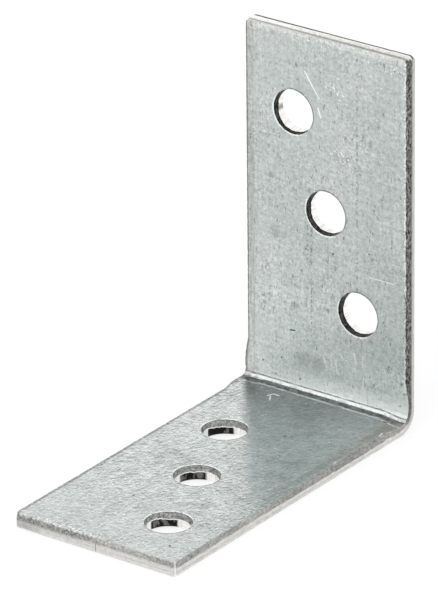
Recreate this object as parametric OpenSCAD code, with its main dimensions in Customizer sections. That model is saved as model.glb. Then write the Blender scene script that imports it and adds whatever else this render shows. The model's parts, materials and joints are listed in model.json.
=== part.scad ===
// Angle bracket: one strip of zinc-coated steel sheet, with three screw holes
// punched in each leg and one right-angle bend between them.
// Millimetres, +Z up. The lower leg lies along -Y, and the upright leg
// stands at its +Y end. The origin is the middle of the underside.

/* [Legs] */
// Width of the strip
strip_w = 30; // [24:0.5:60]
// Length of the lower leg, from the outside of the bend
lower_leg = 62.5; // [52:0.5:120]
// Length of the upright leg, from the outside of the bend
upright_leg = 62.5; // [52:0.5:120]
// Thickness of the sheet
sheet_t = 2.5; // [2:0.1:3]
// Rounding of the strip's four corners
corner_r = 0.8; // [0.4:0.1:3]

/* [Bend] */
// Radius inside the bend
bend_r = 1.1; // [0.6:0.1:3]
// How far the metal squeezed inside the bend swells sideways
swell_h = 0.6; // [0.2:0.05:1]

/* [Holes] */
// Diameter of each screw hole
hole_d = 7; // [4:0.1:8]
// Sideways step from one hole to the next
hole_step = 6; // [0:0.1:7.5]
// Outside of the bend to the first hole of the lower leg
lower_hole_start = 21; // [15:0.5:23]
// Outside of the bend to the first hole of the upright leg
upright_hole_start = 18; // [15:0.5:23]
// Last hole of the lower leg to that leg's end
lower_hole_end = 10.5; // [6:0.5:14]
// Last hole of the upright leg to that leg's end
upright_hole_end = 13.5; // [6:0.5:14]

/* [Sheared edges] */
// Rounding where the punch entered, on the outer faces
roll_r = 0.3; // [0.1:0.05:0.5]
// Height of the smooth band that the punch left
land_h = 0.95; // [0.5:0.05:1.2]
// How far the torn band leans back from the smooth one
break_in = 0.16; // [0.05:0.01:0.3]

/* [Hidden] */
$fn = 96;
// Overrun of cuts past the faces that they open
over = 1;
// Holes in a leg
hole_count = 3;
land_end = roll_r + land_h;
bend_outer_r = bend_r + sheet_t;
// Centre of the swelling, from both outer faces, and its reach from there
// to where the outer edge starts to round
swell_at = bend_outer_r + bend_r;
swell_reach = swell_at - roll_r;
swell_ball_r = (swell_reach * swell_reach + swell_h * swell_h) / (2 * swell_h);

// Section across a sheared strip of width w, with the outer face at y = 0
// and the inner face at y = sheet_t.
module sheared_section(w) {
    half = w / 2;
    polygon([
        [-half, roll_r], [-half + roll_r, 0], [half - roll_r, 0], [half, roll_r],
        [half, land_end], [half - break_in, sheet_t],
        [-half + break_in, sheet_t], [-half, land_end]
    ]);
    for (side = [-1, 1])
        translate([side * (half - roll_r), roll_r]) circle(r = roll_r);
}

// What rounding takes off one corner of a leg of the given length, in plan.
module corner_waste(length) {
    difference() {
        translate([strip_w / 2 - corner_r, length - corner_r]) square(corner_r + over);
        translate([strip_w / 2 - corner_r, length - corner_r]) circle(r = corner_r);
    }
}

// Flat part of a leg along +Y. Its outer face is at z = 0, and the outside
// of the bend is at y = 0.
module flat_leg(length) {
    difference() {
        intersection() {
            translate([0, length, 0]) rotate([90, 0, 0])
                linear_extrude(height = length - bend_outer_r) sheared_section(strip_w);
            translate([-strip_w / 2 - over, 0, 0]) rotate([90, 0, 90])
                linear_extrude(height = strip_w + 2 * over) sheared_section(2 * length);
        }
        for (side = [0, 1])
            mirror([side, 0, 0]) translate([0, 0, -over])
                linear_extrude(height = sheet_t + 2 * over) corner_waste(length);
    }
}

// Quarter turn of the strip from the lower leg to the upright one.
module bend() {
    translate([0, -bend_outer_r, bend_outer_r]) rotate([0, 90, 0])
        rotate_extrude(angle = 90)
            translate([bend_outer_r, 0]) rotate(90) sheared_section(strip_w);
}

// Side view of the sheet round the bend, without its rounded outer layer.
// Both outer faces lie on the axes.
module bend_profile() {
    reach = swell_at + swell_reach;
    intersection() {
        translate([bend_outer_r, bend_outer_r]) difference() {
            circle(r = bend_outer_r - roll_r);
            circle(r = bend_r);
        }
        square(bend_outer_r);
    }
    translate([bend_outer_r, roll_r]) square([reach - bend_outer_r, sheet_t - roll_r]);
    translate([roll_r, bend_outer_r]) square([sheet_t - roll_r, reach - bend_outer_r]);
}

// Shallow cap on the strip's +X side, where bending squeezed it outwards.
module swelling() {
    intersection() {
        translate([strip_w / 2 + swell_h + over, 0, 0]) rotate([90, 0, -90])
            linear_extrude(height = swell_h + 2 * over) bend_profile();
        translate([strip_w / 2 + swell_h - swell_ball_r, -swell_at, swell_at])
            sphere(r = swell_ball_r);
    }
}

// What the punch took out, from the outer face at z = 0 upwards: rounded
// entry, smooth wall, then a torn wall that opens towards the inner face.
module punched_hole() {
    r = hole_d / 2;
    lean = break_in / (sheet_t - land_end);
    rotate_extrude() difference() {
        polygon([
            [0, -over], [r + roll_r, -over], [r + roll_r, roll_r], [r, roll_r],
            [r, land_end], [r + break_in + lean * over, sheet_t + over], [0, sheet_t + over]
        ]);
        translate([r + roll_r, roll_r]) circle(r = roll_r);
    }
}

// Holes of one leg, evenly spaced between the first, at start from the
// bend, and the last, at end from the leg's end. They step to its left.
module leg_holes(length, start, end) {
    pitch = (length - start - end) / (hole_count - 1);
    middle = (hole_count - 1) / 2;
    for (i = [0 : hole_count - 1])
        translate([(middle - i) * hole_step, start + i * pitch, 0]) punched_hole();
}

// Places of the two legs, with the outside of the bend on the X axis.
module lay_down() {
    rotate([0, 0, 180]) children();
}

module stand_up() {
    rotate([90, 0, 0]) children();
}

module angle_bracket() {
    color([0.76, 0.77, 0.76]) translate([0, lower_leg / 2, 0]) difference() {
        union() {
            lay_down() flat_leg(lower_leg);
            stand_up() flat_leg(upright_leg);
            bend();
            for (side = [0, 1])
                mirror([side, 0, 0]) swelling();
        }
        lay_down() leg_holes(lower_leg, lower_hole_start, lower_hole_end);
        stand_up() leg_holes(upright_leg, upright_hole_start, upright_hole_end);
    }
}

angle_bracket();
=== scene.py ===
"""Looks of the angle bracket: one folded strip of zinc-coated steel.

The strip is meshed flat, as places (across, along, depth), where across runs over its width,
along runs from the end of the lower leg to the top of the upright one, and depth goes from the
outer face into the sheet. The mesh is then folded into the bracket's place in the CAD frame.
"""
import json
import math

import bmesh
import bpy
import numpy as np
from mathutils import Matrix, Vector, noise


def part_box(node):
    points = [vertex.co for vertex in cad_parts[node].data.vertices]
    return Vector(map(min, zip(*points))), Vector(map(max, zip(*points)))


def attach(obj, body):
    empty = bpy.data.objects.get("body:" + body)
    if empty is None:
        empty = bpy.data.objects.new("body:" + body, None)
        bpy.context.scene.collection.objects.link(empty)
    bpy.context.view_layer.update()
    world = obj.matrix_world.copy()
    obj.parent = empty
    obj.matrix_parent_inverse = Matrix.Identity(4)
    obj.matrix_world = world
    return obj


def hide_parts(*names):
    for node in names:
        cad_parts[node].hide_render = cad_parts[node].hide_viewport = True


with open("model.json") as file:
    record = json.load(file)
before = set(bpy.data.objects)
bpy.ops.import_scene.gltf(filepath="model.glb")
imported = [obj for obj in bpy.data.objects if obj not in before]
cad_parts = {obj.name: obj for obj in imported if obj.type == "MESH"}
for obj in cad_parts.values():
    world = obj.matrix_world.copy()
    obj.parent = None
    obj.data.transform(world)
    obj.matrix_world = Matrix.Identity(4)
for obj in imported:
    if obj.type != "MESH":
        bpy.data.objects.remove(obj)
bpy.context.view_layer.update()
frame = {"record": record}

mm = 0.001
node = "angle_bracket"

# The bracket's own sizes
low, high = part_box(node)
strip_w = 30 * mm
sheet_t = 2.5 * mm
corner_r = 0.8 * mm
bend_r = 1.1 * mm
roll_r = 0.3 * mm
land_end = roll_r + 0.95 * mm
break_in = 0.16 * mm
swell_h = 0.6 * mm

half_w = strip_w / 2
bend_outer_r = bend_r + sheet_t
flat_low = high.y - low.y - bend_outer_r
flat_up = high.z - low.z - bend_outer_r
arc_length = math.pi / 2 * (bend_r + sheet_t / 2)
bend_start = flat_low
bend_end = flat_low + arc_length
strip_length = bend_end + flat_up
bend_axis_y = high.y - bend_outer_r
bend_axis_z = low.z + bend_outer_r

# The bend's sideways swelling is a shallow cap of a ball
swell_at = bend_outer_r + bend_r
swell_reach = swell_at - roll_r
swell_ball_r = (swell_reach ** 2 + swell_h ** 2) / (2 * swell_h)
swell_soft = 0.06 * mm

# Mesh steps
face_step = 0.5 * mm
side_step = 0.27 * mm
side_band = 3.2 * mm
bend_rows = 18
corner_turns = 6
block_half = 5 * mm
ring_start = 0.6 * mm
ring_stages = [0.07, 0.16, 0.28, 0.44, 0.62, 0.81]

ZINC, TORN, LAND = range(3)


def holes():
    """Centre (across, along) and radius of each hole, from the record's bores."""
    found = []
    for mount in frame["record"]["mounts"]:
        if mount["kind"] != "bore":
            continue
        x, y, z = mount["pos_m"]
        lying = mount["axis"][2] > 0.5
        along = y - low.y if lying else bend_end + z - bend_axis_z
        found.append((x, along, mount["dims"]["r_mm"] * mm))
    return sorted(found, key=lambda hole: hole[1])


def ramp(value, start, end):
    """Smooth rise from 0 at start to 1 at end."""
    t = np.clip((value - start) / (end - start), 0, 1)
    return t * t * (3 - 2 * t)


def spread(stops, step):
    """Lines from the first stop to the last, about step apart, with a line on every stop."""
    lines = [stops[0]]
    for start, end in zip(stops, stops[1:]):
        count = max(1, round((end - start) / step))
        lines += [start + (end - start) * k / count for k in range(1, count + 1)]
    return lines


class Strip:
    """Mesh of the flat strip while it is being built."""

    def __init__(self):
        self.places = []
        self.facings = []
        self.levels = []
        self.faces = []
        self.finishes = []

    def point(self, across, along, depth, facing=(0, 0, 0), level=None):
        self.places.append((across, along, depth))
        self.facings.append(facing)
        self.levels.append(depth if level is None else level)
        return len(self.places) - 1

    def face(self, corners, finish):
        kept = [c for c, after in zip(corners, corners[1:] + corners[:1]) if c != after]
        if len(kept) > 2:
            self.faces.append(kept)
            self.finishes.append(finish)


def grid_lines():
    """Lines across and along one face, inside its rim."""
    inner = half_w - corner_r
    across = {-inner, inner, side_band - inner, inner - side_band}
    along = {corner_r, strip_length - corner_r}
    for x, y, _ in holes():
        across |= {x - block_half, x + block_half}
        along |= {y - block_half, y + block_half}
    along |= set(np.linspace(bend_start, bend_end, bend_rows + 1))
    across = sorted(across)
    fine = [spread([start, end], side_step if abs(start + end) > 2 * inner - 2 * side_band
                   else face_step)[1:] for start, end in zip(across, across[1:])]
    return [across[0]] + sum(fine, []), spread(sorted(along), face_step)


def add_face(strip, depth):
    """Grid of one face at the given depth, open round the holes.

    Returns the loop of points round its rim, with one between every two lines, and the loop
    round each hole's block.
    """
    across, along = grid_lines()
    columns, rows = len(across), len(along)
    grid = [[strip.point(x, y, depth) for y in along] for x in across]
    border = [(i, 0) for i in range(columns - 1)]
    border += [(columns - 1, j) for j in range(rows - 1)]
    border += [(i, rows - 1) for i in range(columns - 1, 0, -1)]
    border += [(0, j) for j in range(rows - 1, 0, -1)]
    rim = []
    between = {}
    for (i, j), (k, m) in zip(border, border[1:] + border[:1]):
        middle = strip.point((across[i] + across[k]) / 2, (along[j] + along[m]) / 2, depth)
        between[grid[i][j], grid[k][m]] = middle
        between[grid[k][m], grid[i][j]] = middle
        rim += [grid[i][j], middle]
    blocked = set()
    blocks = []
    for x, y, _ in holes():
        left, right = [nearest(across, x + side * block_half) for side in (-1, 1)]
        near, far = [nearest(along, y + side * block_half) for side in (-1, 1)]
        blocked |= {(i, j) for i in range(left, right) for j in range(near, far)}
        sides = [[grid[i][near] for i in range(left, right)],
                 [grid[right][j] for j in range(near, far)],
                 [grid[i][far] for i in range(right, left, -1)],
                 [grid[left][j] for j in range(far, near, -1)]]
        blocks.append(sides)
    for i in range(columns - 1):
        for j in range(rows - 1):
            if (i, j) in blocked:
                continue
            corners = [grid[i][j], grid[i + 1][j], grid[i + 1][j + 1], grid[i][j + 1]]
            outline = []
            split = None
            for start, end in zip(corners, corners[1:] + corners[:1]):
                outline.append(start)
                if (start, end) in between:
                    split = len(outline)
                    outline.append(between[start, end])
            if split is None:
                strip.face(outline, ZINC)
                continue
            fan = outline[split:] + outline[:split]
            for start, end in zip(fan[1:], fan[2:]):
                strip.face([fan[0], start, end], ZINC)
    return rim, blocks


def nearest(lines, value):
    return min(range(len(lines)), key=lambda k: abs(lines[k] - value))


def join(strip, loop, other, finish):
    """Faces between two closed loops of as many points."""
    count = len(loop)
    for k in range(count):
        after = (k + 1) % count
        strip.face([loop[k], loop[after], other[after], other[k]], finish)


def add_patch(strip, hole, sides, depth):
    """Rings from the square block round a hole to a circle just outside its rim."""
    x, y, r = hole
    square = sum(sides, [])
    places = [strip.places[point] for point in square]
    turns = []
    for quarter, side in enumerate(sides):
        start = -0.75 * math.pi + quarter * math.pi / 2
        turns += [start + math.pi / 2 * k / len(side) for k in range(len(side))]
    rim_r = r + ring_start
    loops = []
    for stage in [0] + ring_stages:
        loop = []
        for (px, py, _), turn in zip(places, turns):
            cx = x + rim_r * math.cos(turn)
            cy = y + rim_r * math.sin(turn)
            loop.append(strip.point(cx + (px - cx) * stage, cy + (py - cy) * stage, depth))
        loops.append(loop)
    loops.append(square)
    for inner, outer in zip(loops, loops[1:]):
        join(strip, inner, outer, ZINC)
    return loops[0], turns


def roughness_at(x, y, z, size, seed):
    """Signed noise of about the given grain size."""
    return noise.noise(Vector((x, y, z)) / size + Vector((seed, 2 * seed, 3 * seed)))


# Rows of a sheared edge, as distances in from its corner, below the inner face and from the outer one
rim_insets = [0.24 * mm, 0.11 * mm, 0.04 * mm]
rim_drop = 0.015 * mm
torn_drop = 0.07 * mm
torn_rows = 8
land_depths = [1.05 * mm, 0.8 * mm, 0.55 * mm, roll_r]
roll_rows = 5


def edge_rows():
    """Rows from the inner face over a sheared edge to the outer face, as (reach, depth, finish).

    Reach is how far a row stands out, from the plane of the smooth band. The finish is that of
    the faces between the row and the one before it.
    """
    rows = [(-break_in - inset, sheet_t, ZINC) for inset in rim_insets]
    rows.append((-break_in, sheet_t - rim_drop, ZINC))
    rows.append((-break_in, sheet_t - torn_drop, TORN))
    for k in range(1, torn_rows + 1):
        part = k / torn_rows
        rows.append((-break_in * (1 - part), sheet_t + (land_end - sheet_t) * part, TORN))
    rows += [(0, depth, LAND) for depth in land_depths]
    for k in range(1, roll_rows + 1):
        turn = math.pi / 2 * k / roll_rows
        rows.append((roll_r * (math.cos(turn) - 1), roll_r * (1 - math.sin(turn)), ZINC))
    return rows


tear_grain = 0.45 * mm
tear_height = 0.045 * mm
bite_grain = 0.55 * mm
bite_depth = 0.12 * mm
border_grain = 1.6 * mm
border_wave = 0.12 * mm
hole_border_wave = 0.2 * mm
border_teeth = 0.4 * mm
border_tooth = 0.07 * mm
hole_border_tooth = 0.16 * mm
tight_turn = math.radians(240)
tight_rise = 0.55 * mm
upright_rise = -0.14 * mm
front_rise = 0.3 * mm
lower_hole_rise = 0.18 * mm
near_hole_rise = -0.28 * mm


def land_rise(across, along, nx, ny, punched):
    """How much taller than usual the smooth band is: taller where the punch ran close to its die."""
    upright = along > (bend_start + bend_end) / 2
    if punched:
        towards_tight = nx * math.cos(tight_turn) + ny * math.sin(tight_turn)
        rise = tight_rise * (0.5 - 0.5 * towards_tight) ** 3
        if not upright:
            return rise + lower_hole_rise
        return rise + near_hole_rise * (1 - ramp(along, bend_end + flat_up / 4, strip_length - flat_up / 4))
    if upright:
        return upright_rise * ramp(along, bend_end, bend_end + flat_up / 10)
    return front_rise * ramp(across - along, -half_w - flat_low / 4, 0)


def border_shift(across, along, nx, ny, punched):
    """How far the smooth band's border with the torn one lies from its usual depth."""
    wave = roughness_at(across, along, 0, border_grain, 5)
    teeth = roughness_at(across, along, 0, border_teeth, 7)
    if punched:
        uneven = wave * hole_border_wave + teeth * hole_border_tooth
    else:
        uneven = wave * border_wave + teeth * border_tooth
    return uneven + land_rise(across, along, nx, ny, punched)


def add_edge(strip, start_loop, end_loop, contour, punched):
    """Sheared edge along a contour of (across, along, outward across, outward along)."""
    last = start_loop
    for reach, depth, finish in edge_rows():
        share = min((sheet_t - depth) / (sheet_t - land_end), (depth - roll_r) / (land_end - roll_r))
        torn = land_end < depth < sheet_t - rim_drop
        loop = []
        for x, y, nx, ny in contour:
            out, deep = reach, depth
            if share > 0:
                deep += border_shift(x, y, nx, ny, punched) * share
            if torn:
                out += roughness_at(x, y, depth, tear_grain, 9) * tear_height
            if depth > sheet_t - torn_drop - rim_drop:
                out -= max(0, roughness_at(x, y, 0, bite_grain, 3)) * bite_depth
            facing = (nx, ny, 1 if punched else 0)
            loop.append(strip.point(x + nx * out, y + ny * out, deep, facing, depth))
        join(strip, last, loop, finish)
        last = loop
    join(strip, last, end_loop, ZINC)


def outline_contour(strip, rim):
    """The strip's outline, with several turns at each corner, and the rim's points to match."""
    inner = half_w - corner_r
    first, last = corner_r, strip_length - corner_r
    contour = []
    loop = []
    for point in rim:
        x, y, _ = strip.places[point]
        on_x = abs(abs(x) - inner) < 1e-9
        on_y = min(abs(y - first), abs(y - last)) < 1e-9
        side_x = math.copysign(1, x) if on_x else 0
        side_y = 0 if not on_y else (-1 if y < strip_length / 2 else 1)
        turns = [math.atan2(side_y, side_x)]
        if on_x and on_y:
            middle = turns[0]
            turns = [middle + math.pi / 4 * (2 * k / corner_turns - 1)
                     for k in range(corner_turns + 1)]
        for turn in turns:
            nx, ny = math.cos(turn), math.sin(turn)
            contour.append((x + nx * corner_r, y + ny * corner_r, nx, ny))
            loop.append(point)
    return contour, loop


def hole_contour(hole, turns):
    x, y, r = hole
    return [(x + r * math.cos(t), y + r * math.sin(t), -math.cos(t), -math.sin(t)) for t in turns]


def build_strip():
    strip = Strip()
    inner_rim, inner_blocks = add_face(strip, sheet_t)
    outer_rim, outer_blocks = add_face(strip, 0)
    contour, inner_loop = outline_contour(strip, inner_rim)
    _, outer_loop = outline_contour(strip, outer_rim)
    add_edge(strip, inner_loop, outer_loop, contour, punched=False)
    for hole, inner_block, outer_block in zip(holes(), inner_blocks, outer_blocks):
        inner_loop, turns = add_patch(strip, hole, inner_block, sheet_t)
        outer_loop, _ = add_patch(strip, hole, outer_block, 0)
        add_edge(strip, inner_loop, outer_loop, hole_contour(hole, turns), punched=True)
    return strip


def gap_to_outline(across, along):
    """Distance in from the strip's outline."""
    dx = np.abs(across) - (half_w - corner_r)
    dy = np.abs(along - strip_length / 2) - (strip_length / 2 - corner_r)
    outside = np.hypot(np.maximum(dx, 0), np.maximum(dy, 0))
    return corner_r - outside - np.minimum(np.maximum(dx, dy), 0)


def gap_to_holes(across, along):
    """Distance from the nearest hole's wall."""
    gaps = [np.hypot(across - x, along - y) - r for x, y, r in holes()]
    return np.min(gaps, axis=0)


edge_droop = 0.035 * mm
edge_droop_reach = 1.3 * mm
hole_droop = 0.02 * mm
hole_droop_reach = 0.7 * mm
sheet_wave = 0.006 * mm
sheet_wave_length = 9 * mm


def shape_faces(places):
    """Lets the inner face droop a little towards the sheared edges, and gives the sheet a faint wave."""
    across, along, depth = places.T
    droop = edge_droop * (1 - ramp(gap_to_outline(across, along), 0, edge_droop_reach))
    droop += hole_droop * (1 - ramp(gap_to_holes(across, along), 0, hole_droop_reach))
    wave = np.array([noise.noise(Vector((x, y, 0)) / sheet_wave_length) for x, y, _ in places])
    inner = ramp(depth, land_end, sheet_t)
    outer = 1 - ramp(depth, 0, roll_r)
    depth += inner * (sheet_wave * wave - droop) + outer * np.maximum(0, sheet_wave * wave)


def fold(places):
    """Places on the flat strip taken to the bracket's frame."""
    across, along, depth = places.T
    turn = np.clip((along - bend_start) / arc_length, 0, 1) * math.pi / 2
    before = np.minimum(along - bend_start, 0)
    after = np.maximum(along - bend_end, 0)
    r = bend_outer_r - depth
    y = bend_axis_y + r * np.sin(turn) + before
    z = bend_axis_z - r * np.cos(turn) + after
    centre_y, centre_z = high.y - swell_at, low.z + swell_at
    from_ball = (y - centre_y) ** 2 + (z - centre_z) ** 2
    cap = np.sqrt(np.maximum(swell_ball_r ** 2 - from_ball, 0)) - swell_ball_r + swell_h
    lean = break_in * np.clip((depth - land_end) / (sheet_t - land_end), 0, 1)
    proud = cap + lean
    squeezed = (proud + np.hypot(proud, swell_soft)) / 2
    squeezed *= np.sqrt(np.minimum(squeezed / swell_h, 1))
    squeezed *= ramp(depth, 0, roll_r) * ramp(np.abs(across), half_w - corner_r, half_w - break_in)
    squeezed *= ramp(cap, -swell_h, 0)
    x = across + np.sign(across) * squeezed
    return np.stack([x, y, z], axis=1)


def build_bracket():
    strip = build_strip()
    places = np.array(strip.places)
    flat = places.copy()
    shape_faces(places)
    mesh = bpy.data.meshes.new("zinc_bracket")
    mesh.from_pydata(fold(places), [], strip.faces)
    mesh.polygons.foreach_set("material_index", strip.finishes)
    place = mesh.attributes.new("strip_mm", "FLOAT_VECTOR", "POINT")
    place.data.foreach_set("vector", (flat / mm).ravel())
    facing = mesh.attributes.new("facing", "FLOAT_VECTOR", "POINT")
    facing.data.foreach_set("vector", np.array(strip.facings, dtype=float).ravel())
    level = mesh.attributes.new("level_mm", "FLOAT", "POINT")
    level.data.foreach_set("value", np.array(strip.levels) / mm)
    solid = bmesh.new()
    solid.from_mesh(mesh)
    bmesh.ops.recalc_face_normals(solid, faces=solid.faces)
    solid.to_mesh(mesh)
    solid.free()
    mesh.shade_smooth()
    mesh.set_sharp_from_angle(angle=math.radians(38))
    bracket = bpy.data.objects.new("zinc_bracket", mesh)
    bpy.context.scene.collection.objects.link(bracket)
    return bracket


class Shader:
    """Short names for the shader nodes of a material or world."""

    def __init__(self, owner):
        owner.use_nodes = True
        self.nodes = owner.node_tree.nodes
        self.links = owner.node_tree.links

    def set(self, socket, value):
        if isinstance(value, bpy.types.NodeSocket):
            self.links.new(value, socket)
        else:
            socket.default_value = value

    def add(self, kind, inputs, output=0, **settings):
        """One output of a new node, with these settings and inputs."""
        node = self.nodes.new("ShaderNode" + kind)
        for name, value in settings.items():
            setattr(node, name, value)
        for socket, value in inputs.items():
            self.set(node.inputs[socket], value)
        return node.outputs[output]

    def vector(self, name):
        return self.add("Attribute", {}, "Vector", attribute_name=name)

    def value(self, name):
        return self.add("Attribute", {}, "Fac", attribute_name=name)

    def parts(self, vector):
        return [self.add("SeparateXYZ", {0: vector}, axis) for axis in range(3)]

    def scaled(self, vector, factors, shift=(0, 0, 0)):
        return self.add("Mapping", {"Vector": vector, "Scale": factors, "Location": shift}, "Vector")

    def noise(self, vector, scale, detail=2, roughness=0.5):
        inputs = {"Vector": vector, "Scale": scale, "Detail": detail, "Roughness": roughness}
        return self.add("TexNoise", inputs, "Fac")

    def math(self, operation, a, b=0.0, c=0.0):
        return self.add("Math", {0: a, 1: b, 2: c}, operation=operation)

    def vector_math(self, operation, a, b=(0, 0, 0), scale=1.0, output=0):
        return self.add("VectorMath", {0: a, 1: b, 3: scale}, output, operation=operation)

    def step(self, value, start, end, low=0.0, high=1.0):
        """Smooth change from low at start to high at end, where start may be above end."""
        inputs = {"Value": value, "From Min": start, "From Max": end, "To Min": low, "To Max": high}
        return self.add("MapRange", inputs, "Result", interpolation_type="SMOOTHSTEP")

    def band(self, value, start, end, soft):
        """1 between start and end, falling to 0 over soft on both sides."""
        return self.math("MULTIPLY", self.step(value, start - soft, start),
                         self.step(value, end + soft, end))

    def product(self, *values):
        total = values[0]
        for value in values[1:]:
            total = self.math("MULTIPLY", total, value)
        return total

    def total(self, *values):
        total = values[0]
        for value in values[1:]:
            total = self.math("ADD", total, value)
        return total

    def swing(self, noise, amount):
        """Signed change of about the given amount, from a noise round 0.5."""
        return self.math("MULTIPLY", self.math("SUBTRACT", noise, 0.5), amount)

    def fade(self, mask, factor):
        """1 where the mask is 0, and the factor where it is 1."""
        return self.math("MULTIPLY_ADD", mask, factor - 1, 1.0)

    def mix(self, part, a, b):
        return self.add("Mix", {"Factor": part, 6: a, 7: b}, 2, data_type="RGBA")

    def mix_value(self, part, a, b):
        return self.add("Mix", {"Factor": part, 2: a, 3: b})

    def without(self, mask):
        """1 where the mask is 0, and 0 where it is 1."""
        return self.math("SUBTRACT", 1, mask)

    def glancing(self):
        """0 where the surface is seen square on, rising to 1 at a glancing look."""
        return self.add("LayerWeight", {}, "Facing")

    def times(self, colour, factor):
        return self.vector_math("SCALE", colour, scale=factor)

    def bump(self, height, distance):
        return self.add("Bump", {"Height": height, "Distance": distance, "Strength": 1}, "Normal")

    def scratch(self, place, start, end, width):
        """1 along a straight mark on the strip, given in millimetres."""
        reach = np.subtract(end, start)
        along = self.vector_math("DOT_PRODUCT", self.vector_math("SUBTRACT", place, (*start, 0)),
                                 (*(reach / np.dot(reach, reach)), 0), output=1)
        along = self.math("MINIMUM", self.math("MAXIMUM", along, 0), 1)
        nearest = self.vector_math("SCALE", (*reach, 0), scale=along)
        aside = self.vector_math("SUBTRACT", place, self.vector_math("ADD", nearest, (*start, 0)))
        flat = self.vector_math("MULTIPLY", aside, (1, 1, 0))
        gap = self.vector_math("LENGTH", flat, output=1)
        return self.step(gap, width, width / 3)


end_of_strip = strip_length / mm
bend_from = bend_start / mm
bend_to = bend_end / mm
bend_middle = (bend_from + bend_to) / 2
rim_at = (half_w - break_in) / mm
thickness = sheet_t / mm


def at_bend(turn):
    """Place along the strip, in millimetres, of a turn in degrees down from the upright leg."""
    return bend_to - (bend_to - bend_from) * turn / 90


def on_upright(across, height):
    """Place on the strip of a point on the upright leg, from the bracket's underside, in millimetres."""
    return across, bend_to + height - bend_outer_r / mm


def on_lower(across, distance):
    """Place on the strip of a point on the lower leg, from the upright leg's back."""
    return across, bend_from + bend_outer_r / mm - distance


def up_the_upright(height):
    """How far along the strip a height on the upright leg is."""
    return on_upright(0, height)[1]


def along_lower(distance):
    """How far along the strip a distance from the upright leg's back is."""
    return on_lower(0, distance)[1]


# Marks on the two legs: start, end and half width in millimetres, or middle and reach for a smudge.
# Their places are across and height on the upright leg, and across and distance from the upright's
# back on the lower one
upright_scratches = [
    ((-3.8, 56.2), (-2.3, 54.0), 0.2), ((-2.3, 54.0), (-1.1, 52.3), 0.15),
    ((-1.35, 50.7), (-0.85, 49.3), 0.2), ((1.65, 55.0), (1.85, 54.2), 0.1),
    ((-0.4, 9.1), (-0.2, 8.3), 0.18), ((1.9, 8.7), (2.1, 7.2), 0.2),
    ((2.8, 10.6), (3.2, 9.6), 0.16), ((5.3, 11.3), (5.7, 9.6), 0.18),
    ((6.95, 11.3), (6.95, 9.3), 0.13), ((7.05, 7.6), (6.95, 3.4), 0.17),
    ((8.2, 24.9), (12.8, 24.9), 0.1),
]
lower_scratches = [
    ((-7.75, 7.3), (-7.3, 6.2), 0.17), ((-7.3, 6.2), (-6.3, 6.3), 0.2),
    ((-7.3, 7.1), (-6.5, 8.4), 0.15), ((14.5, 8.2), (14.8, 9.4), 0.12),
    ((14.5, 20.5), (14.8, 21.4), 0.14),
]
upright_dots = [
    ((-4.9, 4.25), (-4.85, 4.3), 0.2), ((-12.0, 5.8), (-11.95, 5.7), 0.16),
    ((-8.45, 7.1), (-8.4, 7.0), 0.18), ((-6.7, 12.2), (-5.9, 12.3), 0.17),
    ((-3.75, 26.7), (-3.7, 26.7), 0.16), ((1.35, 27.1), (1.45, 27.1), 0.22),
    ((8.1, 28.75), (8.15, 28.75), 0.17),
]
lower_dots = [
    ((-3.75, 47.6), (-3.7, 47.6), 0.25), ((10.9, 58.3), (10.95, 58.3), 0.3),
    ((3.0, 17.7), (3.05, 17.7), 0.25), ((12.3, 4.8), (13.1, 4.85), 0.2),
]
upright_smudges = [
    ((-9.7, 61.4), 0.8), ((-2.7, 27.0), 0.5), ((-9.4, 28.2), 1.6), ((-10.1, 37.5), 0.8),
    ((-3.1, 36.6), 0.6), ((-5.6, 16.6), 0.9), ((-11.6, 15.7), 0.6), ((2.5, 14.7), 0.6),
    ((8.4, 14.1), 0.6), ((-4.4, 7.9), 2.0), ((-1.6, 7.8), 1.8), ((11.2, 28.4), 0.5),
    ((6.3, 42.8), 0.45), ((6.4, 41.6), 0.45), ((5.9, 48.8), 0.5), ((8.4, 46.6), 0.5),
    ((3.0, 42.9), 0.9), ((1.8, 43.8), 0.7), ((10.0, 23.8), 0.5), ((-14.2, 57.8), 0.6),
    ((-4.5, 52.0), 1.2),
]
lower_smudges = [
    ((-0.4, 6.9), 0.9), ((-11.3, 6.4), 1.0), ((13.1, 14.4), 0.5), ((13.2, 16.2), 0.5),
    ((-5.0, 36.0), 1.0), ((7.5, 44.0), 1.5),
]
bend_scratches = [
    ((-14.1, at_bend(36)), (-13.2, at_bend(33)), 0.1), ((-14.3, at_bend(60)), (-11.8, at_bend(56)), 0.1),
]


def placed(leg, marks):
    """Marks of one leg, with their places taken to the strip."""
    return [(*[leg(*place) for place in places], width) for *places, width in marks]


bright_marks = placed(on_upright, upright_scratches) + placed(on_lower, lower_scratches)
dark_marks = bend_scratches + placed(on_upright, upright_dots) + placed(on_lower, lower_dots)
smudges = placed(on_upright, upright_smudges) + placed(on_lower, lower_smudges)

# Way that the painted dark reflection on a lower hole's wall faces
far_wall = (0.743, -0.669, 0)

# Middles of the upright's speckled patches, in millimetres
speckled = [on_upright(1.7, 54), on_upright(12.7, 60.5), on_upright(2.6, 43.5), on_upright(1.5, 8.5),
            on_upright(4.2, 9.5), on_upright(7, 10), on_upright(10.5, 7.5), on_upright(11.6, 5)]
speckled_reach = 3.5
# Dotted lines that the rolls left on the upright: across, then from and to as heights
roll_lines = [(-2.7, 13, 34), (-3.4, 20, 31), (5.9, 14, 58)]
# Dark smudge on the wall of the top hole
wall_smudge = on_upright(-9.45, 48.55)


def before_bend(far, near):
    """Places along the lower leg, from their distances to the bend."""
    return bend_from - far, bend_from - near


def past_bend(far, near):
    """Places along the upright leg, from their distances to the bend."""
    return bend_to + far, bend_to + near


# Way that the border of the lower leg's smoother part, darkened by a painted reflection of the upright,
# runs: across for each millimetre along
smooth_and_shaded_slope = 0.735
smooth_and_shaded_border = smooth_and_shaded_slope * bend_from - rim_at

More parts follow.
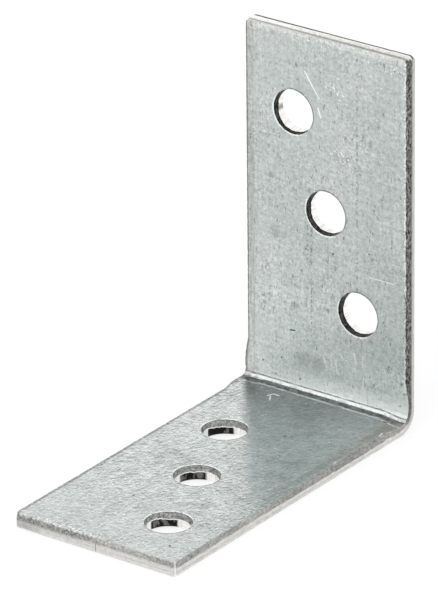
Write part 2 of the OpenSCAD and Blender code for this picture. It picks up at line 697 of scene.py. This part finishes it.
# A part of the strip is a list of limits, in millimetres where they have a unit. Each is the name of
# one of the Sheet's masks, or what is measured and then its step (start and end, with what it changes
# from and to if that isn't 0 and 1) or its band (start, end and softness)
upright_part = [("along", bend_middle - 1, bend_middle + 1)]
inner_part = [("depth", 0.5 * thickness, 0.9 * thickness)]
outer_part = [("depth", 0.45, 0.3)]
# In front of the upright the lower leg's coat is smoother, and darker where a reflection of the upright is
# painted
smooth_and_shaded_part = [("beyond", smooth_and_shaded_border - 0.9, smooth_and_shaded_border + 1.1),
                  ("along", *before_bend(40, 26)), "lower"]


class Sheet(Shader):
    """Shader that knows its place on the strip, in millimetres, and has masks for the strip's parts."""

    def __init__(self, name):
        self.material = bpy.data.materials.new(name)
        super().__init__(self.material)
        self.surface = self.nodes["Principled BSDF"].inputs
        self.place = self.vector("strip_mm")
        self.in_plan = self.vector_math("MULTIPLY", self.place, (1, 1, 0))
        self.across, self.along, self.depth = self.parts(self.place)
        self.facing = self.vector("facing")
        self.face_x, self.face_y, self.punched = self.parts(self.facing)
        self.level = self.value("level_mm")
        self.below = self.math("SUBTRACT", thickness, self.level)
        self.left = self.total(self.across, rim_at)
        self.right = self.math("SUBTRACT", rim_at, self.across)
        self.top = self.math("SUBTRACT", end_of_strip - break_in / mm, self.along)
        self.beyond = self.math("MULTIPLY_ADD", self.along, smooth_and_shaded_slope, self.across)
        self.to_far_wall = self.vector_math("DOT_PRODUCT", self.facing, far_wall, output=1)
        self.upright = self.where(*upright_part)
        self.lower = self.without(self.upright)
        self.inner = self.where(*inner_part)
        self.outer = self.where(*outer_part)
        self.sheltered = self.where(*smooth_and_shaded_part)

    def where(self, *limits):
        """Mask of the part of the strip inside all of the limits, or its tone where they change one."""
        masks = []
        for limit in limits:
            if isinstance(limit, str):
                masks.append(getattr(self, limit))
                continue
            measured, *numbers = limit
            change = self.band if len(numbers) == 3 else self.step
            masks.append(change(getattr(self, measured), *numbers))
        return self.product(*masks)

    def gap_to(self, middle):
        """Distance, over the sheet's face, from a place (across, along)."""
        return self.vector_math("DISTANCE", self.in_plan, (*middle, 0), output=1)

    def grains(self, per_mm, shift=(0, 0, 0), detail=2, roughness=0.5):
        """Noise with its own number of grains to the millimetre each way."""
        return self.noise(self.scaled(self.place, per_mm, shift), 1, detail=detail, roughness=roughness)

    def most(self, masks):
        total = 0
        for mask in masks:
            total = self.math("MAXIMUM", total, mask)
        return total


# Grains to the millimetre, and how much each changes the tone
crystals_per_mm, crystal_swing = 0.55, 1.3
pressed_per_mm, embossed_shading_swing, sharpened_shading_swing = 1.7, 1.2, 12
# Shift between two copies of one noise; their difference paints light and shade on the sides of the press
# marks, as if lit from above and behind
emboss_light_shift = (-0.1, 0.12, 0)
lower_grain_growth = (4, 20, 0.88, 1.42)


def lower_grain(s):
    """Coarse crystals and press marks of the lower leg's coat, with painted light and shade on the marks'
    sides, as a signed change of tone.
    """
    rolled = s.scaled(s.place, (1, 0.8, 1))
    shifted = s.vector_math("ADD", rolled, emboss_light_shift)
    crystals = s.noise(rolled, crystals_per_mm, detail=4, roughness=0.9)
    embossed_shading = s.math("SUBTRACT", s.noise(rolled, pressed_per_mm, detail=3, roughness=0.7),
                     s.noise(shifted, pressed_per_mm, detail=3, roughness=0.7))
    sharpened_shading = s.product(embossed_shading, s.math("ABSOLUTE", embossed_shading))
    change = s.total(s.swing(crystals, crystal_swing), s.product(embossed_shading, embossed_shading_swing),
                     s.product(sharpened_shading, sharpened_shading_swing))
    return s.product(s.step(s.along, *lower_grain_growth), change)


patch_per_mm, patch_swing = 1.2, 1.15
fleck_swing = 0.85
streak_swing = 0.28
grain_change_per_mm = 0.13
grain_change = (0.35, 0.65, 0.8, 1.2)


def upright_grain(s):
    """Finer crystals and rolling streaks of the upright leg's coat, as a signed change of tone."""
    patches = s.noise(s.place, patch_per_mm, detail=5, roughness=0.8)
    flecks = s.grains((2.9, 2.6, 1), (7, 3, 0), detail=3, roughness=0.6)
    streaks = s.grains((3.6, 0.08, 1), (2, 5, 0), detail=3)
    weave = s.grains((0.14, 3.4, 1), (2, 15, 0), detail=3)
    amount = s.step(s.noise(s.place, grain_change_per_mm, detail=1), *grain_change)
    return s.product(amount, s.total(s.swing(patches, patch_swing), s.swing(flecks, fleck_swing),
                                     s.swing(streaks, streak_swing), s.swing(weave, streak_swing)))


left_line = [("left", 0.35, 0.15)]
lower_line, lower_line_strength = [("left", 0.3, 0.5, 0.2), "lower"], 0.8


def left_line_mask(s):
    """Line along the left rim, wider on the lower leg."""
    wider = s.product(s.where(*lower_line), lower_line_strength)
    return s.product(s.math("MAXIMUM", s.where(*left_line), wider), s.inner)


# Way from a hole's middle to the side of its burr that catches the light
upright_burr_side = (-0.75, -0.66, 0)
lower_burr_side = (-0.6, 0.8, 0)
burr_ring = (0.02, 0.2, 0.1)
lit_turn = (0.1, 0.6)
shaded_turn = (-0.1, -0.6)


def burr_sides(s):
    """The lit and the shaded side of the burr round each hole."""
    lit, shaded = [], []
    for x, y, r in holes():
        offset = s.vector_math("SUBTRACT", s.in_plan, (x / mm, y / mm, 0))
        gap = s.math("SUBTRACT", s.vector_math("LENGTH", offset, output=1), (r + break_in) / mm)
        side = upright_burr_side if y > bend_end else lower_burr_side
        towards = s.vector_math("DOT_PRODUCT", s.vector_math("NORMALIZE", offset), side, output=1)
        ring = s.product(s.band(gap, *burr_ring), s.inner)
        lit.append(s.product(ring, s.step(towards, *lit_turn)))
        shaded.append(s.product(ring, s.step(towards, *shaded_turn)))
    return s.most(lit), s.most(shaded)


smudge_core = 0.2


def smudged_part(s):
    spots = [s.step(s.gap_to(middle), reach, smudge_core * reach) for middle, reach in smudges]
    return s.product(s.most(spots), s.inner)


left_band = [("left", 2.2, 0.8), "inner", "upright"]
top_rim = [("top", 1.3, 0.2), "inner", "upright"]
# Strip of the upright just above the bend, made lighter as painted light
close_heel = [("along", *past_bend(2.8, 0.3)), ("across", -10, 0, 0.7, 1), "inner", "upright"]
# How much lighter or darker than the rest a part is. First the upright near the bend, lighter as painted
# light, then the lower leg in front of it, darker as a painted reflection of the upright, then the rims,
# and the painted light line in front of the fold
coat_parts = [
    (1.15, ("along", *past_bend(26, 0)), "inner", "upright"),
    (1.1, ("along", *past_bend(7, 0.5)), "inner", "upright"),
    (1.22, *close_heel),
    (1.18, ("along", *past_bend(9, 4)), ("across", -10, 8), "inner", "upright"),
    # Painted reflection of the upright: the lower leg in front of it is darker, most of all near the crease
    (0.94, "sheltered"),
    (0.78, ("along", *before_bend(26, 4)), ("across", 13, 1, 0.55, 1), "sheltered"),
    (0.6, ("along", *before_bend(12, 1)), ("across", 12, 0, 0.75, 1), "sheltered"),
    (0.86, *left_band),
    (0.95, ("left", 1.2, 1.35, 0.15), "inner", "upright"),
    (0.83, ("right", 0.7, 1.4, 0.5), "sheltered"),
    (1.2, *top_rim),
    (1.1, ("along", along_lower(4.3), along_lower(4.1), 0.2), "inner"),
]
left_line_tone = 0.44
smudge_tone = 0.78
lit_burr_tone = 1.65
shaded_burr_tone = 0.5
lower_tone = 1.11
upright_tone = 1.13
smooth_and_shaded_grain = 0.4
cloud_swing = 0.25
blotch_swing = 1.1
band_streak_swing = 0.9


def coat_tone(s, grain, clouds):
    """Brightness of the coat, from its grain, its clouds and its lighter and darker parts, some of them
    painted light and shade.
    """
    blotches = s.grains((0.8, 0.6, 1), (12, 4, 0), detail=5, roughness=0.75)
    tone = s.total(1, s.product(grain, s.fade(s.sheltered, smooth_and_shaded_grain)), s.swing(clouds, cloud_swing),
                   s.product(s.sheltered, s.swing(blotches, blotch_swing)))
    tone = s.product(tone, s.mix_value(s.upright, lower_tone, upright_tone))
    lit, shaded = burr_sides(s)
    tones = [(factor, s.where(*limits)) for factor, *limits in coat_parts]
    tones += [(left_line_tone, left_line_mask(s)), (smudge_tone, smudged_part(s)),
              (lit_burr_tone, lit), (shaded_burr_tone, shaded)]
    for factor, mask in tones:
        tone = s.product(tone, s.fade(mask, factor))
    streaks = s.swing(s.grains((4, 0.2, 1), (6, 1, 0), detail=3), band_streak_swing)
    return s.product(tone, s.total(1, s.product(s.where(*left_band), streaks)))


coat_dark = (0.507, 0.546, 0.532, 1)
coat_light = (0.52, 0.549, 0.536, 1)
coat_rim = (0.535, 0.547, 0.533, 1)
# Colour of the lower leg's painted reflection of the upright
coat_smooth_and_shaded = (0.487, 0.541, 0.541, 1)
coat_warm = (0.5, 0.5, 0.47, 1)
cloud_blend = (0.35, 0.65)
warm_side = [("right", 4, 0.7), ("along", *before_bend(30, 6)), "sheltered"]


def coat_colour(s, clouds):
    colour = s.mix(s.step(clouds, *cloud_blend), coat_dark, coat_light)
    colour = s.mix(s.math("MAXIMUM", s.where(*left_band), s.where(*top_rim)), colour, coat_rim)
    colour = s.mix(s.sheltered, colour, coat_smooth_and_shaded)
    return s.mix(s.where(*warm_side), colour, coat_warm)


# Rolled entries painted white as a reflection of the white floor, and dark as a reflection on the far side
# of the lower holes
roll_white_reflection = (0.97, 0.97, 0.965, 1)
roll_dark_reflection = (0.02, 0.02, 0.02, 1)
top_roll = [("top", 0.4, 0.2), "outer"]
dark_reflection_roll = [("to_far_wall", 0.76, 0.86), "lower"]


def with_rolls(s, colour):
    """Adds the rounded entries of the holes and of the upright leg's end, on the outer faces, painted white
    as a reflection of the white floor, with a painted dark reflection on the far side of the lower holes.
    """
    colour = s.mix(s.where(*top_roll), colour, roll_white_reflection)
    roll_colour = s.mix(s.where(*dark_reflection_roll), roll_white_reflection, roll_dark_reflection)
    return s.mix(s.product(s.punched, s.outer), colour, roll_colour)


pit_colour = (0.17, 0.18, 0.175, 1)
pit_strength = 0.6
pit_level = (0.355, 0.29)
low_pit_level = (0.37, 0.3)
pitted_rim, rim_pits = [("along", 1.8, 0.9), ("across", 4, 0)], 0.07
dot_level = (0.52, 0.6)
roll_line_half, roll_line_soft, roll_line_fade = 0.06, 0.16, 2


def with_pits(s, colour):
    """Adds small dark pits, and the dotted lines that the rolls left."""
    pits = s.step(s.grains((2.4, 0.9, 1), (21, 17, 5)), *pit_level)
    low_pits = s.grains((2.2, 1.7, 1), (11, 27, 5), detail=3)
    more = s.product(s.where(*pitted_rim), rim_pits)
    low_pits = s.step(s.math("SUBTRACT", low_pits, more), *low_pit_level)
    pits = s.mix_value(s.upright, low_pits, pits)
    dotted = s.step(s.grains((0.5, 2.2, 1), (4, 8, 0), detail=1), *dot_level)
    lines = []
    for middle, start, end in roll_lines:
        line = s.band(s.across, middle - roll_line_half, middle + roll_line_half, roll_line_soft)
        stretch = s.band(s.along, up_the_upright(start), up_the_upright(end), roll_line_fade)
        lines.append(s.product(line, stretch, dotted))
    return s.mix(s.product(s.most([pits] + lines), pit_strength, s.inner), colour, pit_colour)


# Where the bright specks are denser, and how much
speckled_top, top_specks = [("top", 3.5, 0.5)], 0.06
speckled_right, right_specks = [("right", 0.4, 0.2), "inner", "upright"], 0.17
speckled_front, front_specks = [("along", 1.6, 0.9), ("across", 3, 0), ("across", -13, -11)], 0.14
patch_specks = 0.115
speck_per_mm = 2.4
speck_level = (0.69, 0.74)
speck_strength = 0.9
wear_per_mm = 2.6
wear_level = (0.3, 0.45, 0.35, 1)
unworn_heights = (40, 38)


def shiny_part(s):
    """Bright specks, denser in some parts, and the bright scratches."""
    open_lower = s.product(s.lower, s.without(s.sheltered))
    near_top = s.math("MAXIMUM", s.where(*speckled_top), open_lower)
    dense = [s.product(near_top, top_specks), s.product(s.where(*speckled_right), right_specks),
             s.product(s.where(*speckled_front), front_specks)]
    dense += [s.step(s.gap_to(middle), speckled_reach, 0, 0, patch_specks) for middle in speckled]
    specks = s.noise(s.scaled(s.place, (1, 1, 1), (40, 9, 2)), speck_per_mm)
    specks = s.product(s.step(s.total(specks, s.most(dense)), *speck_level), speck_strength)
    worn = s.step(s.noise(s.place, wear_per_mm), *wear_level)
    whole = s.step(s.along, *[up_the_upright(height) for height in unworn_heights])
    kept = s.math("MAXIMUM", worn, whole)
    marks = [s.product(s.scratch(s.place, *mark), kept) for mark in bright_marks]
    return s.product(s.most([specks] + marks), s.inner)


# Colours of the lines inside the bend: the press line, a painted light line, a painted shade band and a
# painted highlight
press_colour = (0.2, 0.21, 0.205, 1)
fold_rim_light_colour = (0.68, 0.7, 0.69, 1)
fold_shade_colour = (0.19, 0.2, 0.195)
fold_highlight_colour = (0.99, 0.99, 0.985, 1)
fold_sway, press_sway = 0.75, 0.25
# How far the lines move down at the strip's two sides
flare_across = (-11, -12.5, 0, 0.4)
dip_across = (10.5, 14.5, 0, 0.75)
press_span, press_change = (at_bend(30), at_bend(20), 0.07), (0.35, 0.6, 0.5, 1)
fold_rim_span, fold_rim_change = (*before_bend(0.8, 0.6), 0.15), (0.35, 0.55, 0.1, 1)
fold_shade_span = (at_bend(90) - 0.3, at_bend(63), 0.1)
fold_highlight_top, fold_highlight_foot = (at_bend(32), at_bend(36)), (at_bend(59), at_bend(55))
fold_highlight_change = (0.4, 0.56, 0.35, 1)
fold_shade_contrast, fold_shade_base, fold_shade_darkest = 6, -2.1, 0.1


def with_fold(s, colour):
    """Adds the lines inside the bend: a thin dark press line, a painted shade band in the bend's lower
    part, a painted highlight above it, and a painted light line just below the bend. Returns the
    highlight's mask too.
    """
    sway = s.swing(s.grains((0.6, 0, 0), detail=4, roughness=0.75), fold_sway)
    slight_sway = s.swing(s.grains((0.9, 0, 0), (5, 3, 0), detail=3), press_sway)
    dip = s.step(s.across, *dip_across)
    bend_place = s.total(s.along, sway, s.step(s.across, *flare_across), dip)
    press_place = s.total(s.along, slight_sway, dip)
    changes = s.grains((0.45, 0, 0), (9, 0, 0), detail=3, roughness=0.7)
    press_line = s.product(s.band(press_place, *press_span), s.step(changes, *press_change), s.inner)
    rim_light = s.product(s.band(bend_place, *fold_rim_span), s.step(changes, *fold_rim_change), s.inner)
    fold_shade = s.product(s.band(bend_place, *fold_shade_span), s.inner)
    fold_highlight = s.product(s.step(press_place, *fold_highlight_top), s.step(bend_place, *fold_highlight_foot),
                            s.step(changes, *fold_highlight_change), s.inner)
    fold_shade_noise = s.grains((1.2, 3, 1), detail=4, roughness=0.7)
    fold_shade_tone = s.math("MAXIMUM", s.math("MULTIPLY_ADD", fold_shade_noise, fold_shade_contrast, fold_shade_base), fold_shade_darkest)
    colour = s.mix(press_line, colour, press_colour)
    colour = s.mix(rim_light, colour, fold_rim_light_colour)
    colour = s.mix(fold_shade, colour, s.times(fold_shade_colour, fold_shade_tone))
    return s.mix(fold_highlight, colour, fold_highlight_colour), fold_highlight


shiny_colour = (0.98, 0.98, 0.975, 1)
dull_colour = (0.06, 0.06, 0.06, 1)
# Painted highlight along the lower leg's rolled corner
roll_highlight_colour = (0.96, 0.96, 0.95, 1)
roll_highlight_depth = (0.4, 0.25)
upended_turn = (0.6, 0.95)
roll_highlight_side_turn = (0.2, 0.6, 0.45, 1)


def roll_highlight_part(s):
    """Rolled corner of the lower leg's sheared edge, with a painted highlight."""
    upended = s.vector_math("LENGTH", s.vector_math("MULTIPLY", s.facing, (1, 1, 0)), output=1)
    on_side = s.step(s.math("ABSOLUTE", s.face_x), *roll_highlight_side_turn)
    return s.product(s.step(s.depth, *roll_highlight_depth), s.step(upended, *upended_turn), s.without(s.punched),
                     s.lower, on_side)


cloud_per_mm = 0.16
scuffed_part = [("along", *past_bend(24, 14)), "upright"]
scuffed_metallic = 0.3
coat_gloss = (0.3, 0.55, 0.52, 0.2)
grain_gloss = 0.12
fold_gloss = 0.25
zinc_bump = 0.016 * mm


def zinc_finish():
    s = Sheet("zinc_coat")
    clouds = s.noise(s.place, cloud_per_mm, detail=3)
    grain = s.mix_value(s.upright, lower_grain(s), upright_grain(s))
    colour = s.times(coat_colour(s, clouds), coat_tone(s, grain, clouds))
    colour = with_pits(s, with_rolls(s, colour))
    shiny = shiny_part(s)
    colour, fold_highlight = with_fold(s, s.mix(shiny, colour, shiny_colour))
    dull = s.product(s.most([s.scratch(s.place, *mark) for mark in dark_marks]), s.inner)
    colour = s.mix(dull, colour, dull_colour)
    colour = s.mix(roll_highlight_part(s), colour, roll_highlight_colour)
    s.set(s.surface["Base Color"], colour)

    scuffs = s.math("MAXIMUM", s.where(*close_heel), s.product(shiny, s.where(*scuffed_part)))
    s.set(s.surface["Metallic"], s.fade(scuffs, scuffed_metallic))
    gloss = s.total(s.step(s.glancing(), *coat_gloss), s.product(grain, grain_gloss))
    gloss = s.mix_value(fold_highlight, gloss, fold_gloss)
    s.set(s.surface["Roughness"], gloss)
    s.set(s.surface["Normal"], s.bump(grain, zinc_bump))
    return s.material


# Painted highlight along the middle of the lower leg's corners
glint_colour = (0.95, 0.95, 0.94, 1)
glint_turn = (0.95, 0.985)


def sheared_metal(s, colour, roughness, height, bump):
    """Settings that both bands of the sheared edge share."""
    glint = corner_glint(s)
    s.set(s.surface["Base Color"], s.mix(glint, colour, glint_colour))
    s.set(s.surface["Metallic"], 1)
    s.set(s.surface["Roughness"], roughness)
    s.set(s.surface["Normal"], s.bump(height, bump))
    return s.material


def corner_glint(s):
    """1 along the middle of the lower leg's corners, where a highlight is painted."""
    turned = s.math("ABSOLUTE", s.product(s.face_x, s.face_y, 2))
    return s.product(s.step(turned, *glint_turn), s.without(s.math("MAXIMUM", s.upright, s.punched)))


# Brightness of the torn band along the sides, from the lower leg's own and what is added to it
lower_torn, lower_torn_swing = 0.35, 0.3
# Lighter stretch of the lower leg's torn side, between 38 and 46 mm from the upright's back
lighter_stretch, lighter_stretch_gain = [("along", along_lower(46), along_lower(38), 6)], 0.08
near_bend, near_bend_light = [("along", along_lower(16), along_lower(7))], 0.12
near_end = [("along", along_lower(46), along_lower(54), 0, 0.06)]
# On the upright it changes with the distance below the inner face
torn_upright = [("below", 0.03, 0.2, 0.66, 0.19), ("below", 0.5, 0.9, 1, 1.15),
                ("along", *past_bend(12, 3), 1, 0.72)]
torn_line, torn_line_tone = [("below", 0.95, 1.15, 0.15)], 0.8


def torn_sides(s, clouds):
    """Brightness of the torn band along the strip's two sides."""
    lower_side = s.total(lower_torn, s.swing(clouds, lower_torn_swing),
                         s.product(s.where(*lighter_stretch), lighter_stretch_gain),
                         s.product(s.where(*near_bend), near_bend_light), s.where(*near_end))
    upright_side = s.product(s.where(*torn_upright), s.fade(s.where(*torn_line), torn_line_tone))
    return s.mix_value(s.upright, lower_side, upright_side)


front_torn_swing = 14
front_across, front_corner = (-5, 2, 0.35, 0.49), (7, 13, 1, 0.78)
front_rim_reach, front_rim_tone = (0, 0.4), 0.62
torn_top = [("below", 0.55, 0.8, 0.62, 0.82), ("across", -12, 6, 1.18, 0.96)]
top_line, top_line_tone = [("below", 0.25, 0.45, 0.15)], 0.62


def torn_ends(s, clouds):
    """Brightness of the torn band across the strip's two ends."""
    front = s.step(s.total(s.across, s.swing(clouds, front_torn_swing)), *front_across)
    front = s.product(front, s.step(s.across, *front_corner))
    front = s.step(s.below, *front_rim_reach, front_rim_tone, front)
    top = s.product(s.where(*torn_top), s.fade(s.where(*top_line), top_line_tone))
    return s.mix_value(s.upright, front, top)


dark_wall = [("below", 0.1, 0.35, 0.02, 0.065), ("below", 0.8, 1.05, 1, 0.4)]
right_wall, right_wall_tone = [("face_x", -0.9, -0.6)], 0.3
lower_wall = [("below", 0.05, 0.25, 0.26, 0.42)]


def torn_walls(s):
    """Brightness of the torn band in the holes, dark on the left and lower walls of the upright's."""
    upright_wall = s.mix_value(s.where(*right_wall), right_wall_tone, s.where(*dark_wall))
    return s.mix_value(s.upright, s.where(*lower_wall), upright_wall)


# How strongly the torn grain changes the tone
lower_side_contrast, lower_front_contrast, lower_wall_contrast = 2.8, (2, -4, 3, 4.8), 4.5
upright_side_contrast, upright_end_contrast, upright_wall_contrast = 10, 1.5, 8.5
torn_darkest = 0.15
torn_cloud_per_mm = 0.14
end_turn = (0.4, 0.9)
torn_tint = (1.01, 1, 0.965, 1)
punched_tint = (0.99, 1, 0.985, 1)
torn_roughness = 0.6
torn_bump = 0.05 * mm


def torn_finish():
    s = Sheet("torn_steel")
    grain = s.grains((2.0, 1.6, 2.6), detail=4, roughness=0.8)
    clouds = s.noise(s.place, torn_cloud_per_mm)
    ends = s.step(s.math("ABSOLUTE", s.face_y), *end_turn)
    outline = s.mix_value(ends, torn_sides(s, clouds), torn_ends(s, clouds))
    base = s.mix_value(s.punched, outline, torn_walls(s))
    lower = s.mix_value(ends, lower_side_contrast, s.step(s.across, *lower_front_contrast))
    lower = s.mix_value(s.punched, lower, lower_wall_contrast)
    upright = s.mix_value(ends, upright_side_contrast, upright_end_contrast)
    upright = s.mix_value(s.punched, upright, upright_wall_contrast)
    contrast = s.mix_value(s.upright, lower, upright)
    change = s.total(1, s.product(s.swing(grain, 1), contrast))
    change = s.math("MAXIMUM", change, torn_darkest)
    colour = s.times(s.mix(s.punched, torn_tint, punched_tint), s.product(base, change))
    return sheared_metal(s, colour, torn_roughness, grain, torn_bump)


land_end_turn = (0.2, 0.6)
front_land = (1.25, 0.7)
front_land_start, front_land_end = (-5, 2, 0.42, 0.6), (-13, -9, 0.5, 0.7)
side_land_tone = 0.66
lower_land_line, lower_land_line_tone = (0.64, 0.74, 0.08), 0.85
upright_land = (1.2, 0.75, 0.24, 0.54)
top_land_line, top_land_line_tone = (0.5, 0.92, 0.06), (-6, 0, 0.04, 0.13)


def land_outline(s):
    """Brightness of the smooth band round the strip's outline."""
    ends = s.step(s.math("ABSOLUTE", s.face_y), *land_end_turn)
    front_start = s.step(s.across, *front_land_start)
    front = s.step(s.level, *front_land, front_start, s.step(s.across, *front_land_end))
    line = s.fade(s.band(s.level, *lower_land_line), lower_land_line_tone)
    lower_side = s.product(s.mix_value(ends, side_land_tone, front), line)
    side = s.mix_value(s.upright, lower_side, s.step(s.level, *upright_land))
    top = s.mix_value(s.band(s.level, *top_land_line), 1, s.step(s.across, *top_land_line_tone))
    return s.mix_value(s.product(s.upright, ends), side, top)


# Painted dark reflection on the far wall of the lower holes
dark_reflection_wall = [("level", 1.17, 1.1), "punched", "lower"]
dark_reflection_turn, dark_reflection_swing = (0.78, 0.84), 0.15
dark_reflection_patch = (0.5, 0.62, 0.015, 0.16)
wall_streak = (0.34, 0.5, 0.8, 1)


def wall_change(s, drag):
    """Change of tone in the holes: a painted dark reflection on the lower ones' far wall, and light
    streaks.
    """
    uneven = s.total(s.to_far_wall, s.swing(drag, dark_reflection_swing))
    dark_reflection = s.product(s.where(*dark_reflection_wall), s.step(uneven, *dark_reflection_turn))
    patch = s.step(s.grains((1.1, 1.1, 0.5), (3, 1, 6)), *dark_reflection_patch)
    streaks = s.step(s.grains((2.6, 2.6, 0.2)), *wall_streak)
    return s.product(s.mix_value(dark_reflection, 1, patch),
                     s.mix_value(s.product(s.punched, s.without(dark_reflection)), 1, streaks))


lip_level, upright_hole_tone = (1.1, 1.18, 0.92, 1.0), 0.98
drag_swing, outline_drag = 0.6, 0.5
stain_swing, outline_stain = 0.5, 2
crack, crack_tone = [("across", 0.22, 0.28, 0.06), ("face_y", -0.8, -0.95), "lower"], 0.3
wall_smudge_gap = (0.7, 0.15, 1, 0.35)
land_tint = (1.015, 1, 0.97)
land_roughness = 0.2
land_bump = 0.015 * mm


def land_finish():
    s = Sheet("sheared_band")
    drag = s.grains((5, 5, 0.25), detail=3, roughness=0.6)
    stains = s.grains((0.9, 0.9, 3), detail=4, roughness=0.7)
    hole_wall = s.mix_value(s.upright, s.step(s.level, *lip_level), upright_hole_tone)
    base = s.mix_value(s.punched, land_outline(s), hole_wall)
    dragged = s.product(s.swing(drag, drag_swing), s.mix_value(s.punched, outline_drag, 1))
    stained = s.product(s.swing(stains, stain_swing), s.mix_value(s.punched, outline_stain, 1))
    cracked = s.product(s.where(*crack), s.without(s.punched))
    tone = s.product(base, s.total(1, dragged), s.total(1, stained), wall_change(s, drag),
                     s.fade(cracked, crack_tone), s.step(s.gap_to(wall_smudge), *wall_smudge_gap))
    return sheared_metal(s, s.times(land_tint, tone), land_roughness, drag, land_bump)


# The photograph's view
camera_azimuth = math.radians(36.1289)
camera_elevation = math.radians(24.3744)
camera_roll = math.radians(-0.5474)
camera_distance = 1.097
camera_aim = Vector((-7.0546, 10.5193, 23.9643)) * mm
camera_lens = 431.67


def add_camera():
    data = bpy.data.cameras.new("camera")
    data.lens = camera_lens
    data.clip_end = 10
    camera = bpy.data.objects.new("camera", data)
    back = Vector((math.sin(camera_azimuth) * math.cos(camera_elevation),
                   -math.cos(camera_azimuth) * math.cos(camera_elevation),
                   math.sin(camera_elevation)))
    upright = back.to_track_quat("Z", "Y").to_matrix().to_4x4()
    camera.matrix_world = upright @ upright.Rotation(camera_roll, 4, "Z")
    camera.location = camera_aim + back * camera_distance
    bpy.context.scene.collection.objects.link(camera)
    bpy.context.scene.camera = camera


def backdrop_rays(s):
    """1 for the rays that see the backdrop: from the camera, or by way of gloss or glass."""
    rays = s.add("LightPath", {}, "Is Camera Ray")
    for name in ("Is Glossy Ray", "Is Transmission Ray"):
        rays = s.math("MAXIMUM", rays, s.add("LightPath", {}, name))
    return rays


floor_size = 4
floor_colour = 0.3
floor_glow = 0.73


def add_floor():
    """White floor, which keeps a soft shadow under the bracket."""
    mesh = bpy.data.meshes.new("floor")
    edge = floor_size / 2
    mesh.from_pydata([(-edge, -edge, 0), (edge, -edge, 0), (edge, edge, 0), (-edge, edge, 0)],
                     [], [(0, 1, 2, 3)])
    floor = bpy.data.objects.new("floor", mesh)
    floor.location.z = low.z - 0.02 * mm
    bpy.context.scene.collection.objects.link(floor)
    material = bpy.data.materials.new("floor")
    s = Shader(material)
    surface = s.nodes["Principled BSDF"].inputs
    s.set(surface["Base Color"], (floor_colour, floor_colour, floor_colour, 1))
    s.set(surface["Roughness"], 1)
    s.set(surface["Specular IOR Level"], 0)
    s.set(surface["Emission Color"], (1, 1, 1, 1))
    s.set(surface["Emission Strength"], s.product(backdrop_rays(s), floor_glow))
    mesh.materials.append(material)


world_light = 0.92


def add_world():
    world = bpy.data.worlds.new("studio")
    bpy.context.scene.world = world
    s = Shader(world)
    rays = backdrop_rays(s)
    background = s.nodes["Background"].inputs
    s.set(background["Color"], (1, 1, 1, 1))
    s.set(background["Strength"], s.add("MapRange", {"Value": rays, "To Min": world_light}, "Result"))


softbox_size = 0.5
softbox_distance = 1.1
softbox_light = 2.0


def add_softbox():
    """Large soft lamp above and in front, which lights the painted highlight inside the bend."""
    data = bpy.data.lights.new("softbox", "AREA")
    data.shape = "SQUARE"
    data.size = softbox_size
    data.energy = softbox_light * math.pi * softbox_size ** 2
    lamp = bpy.data.objects.new("softbox", data)
    towards = Vector((0.1, -0.35, 0.93)).normalized()
    lamp.location = towards * softbox_distance
    lamp.rotation_euler = towards.to_track_quat("Z", "Y").to_euler()
    bpy.context.scene.collection.objects.link(lamp)


add_camera()
bracket = build_bracket()
for finish in (zinc_finish(), torn_finish(), land_finish()):
    bracket.data.materials.append(finish)
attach(bracket, "root")
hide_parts(node)
add_floor()
add_world()
add_softbox()
bpy.context.scene.view_settings.view_transform = "Standard"
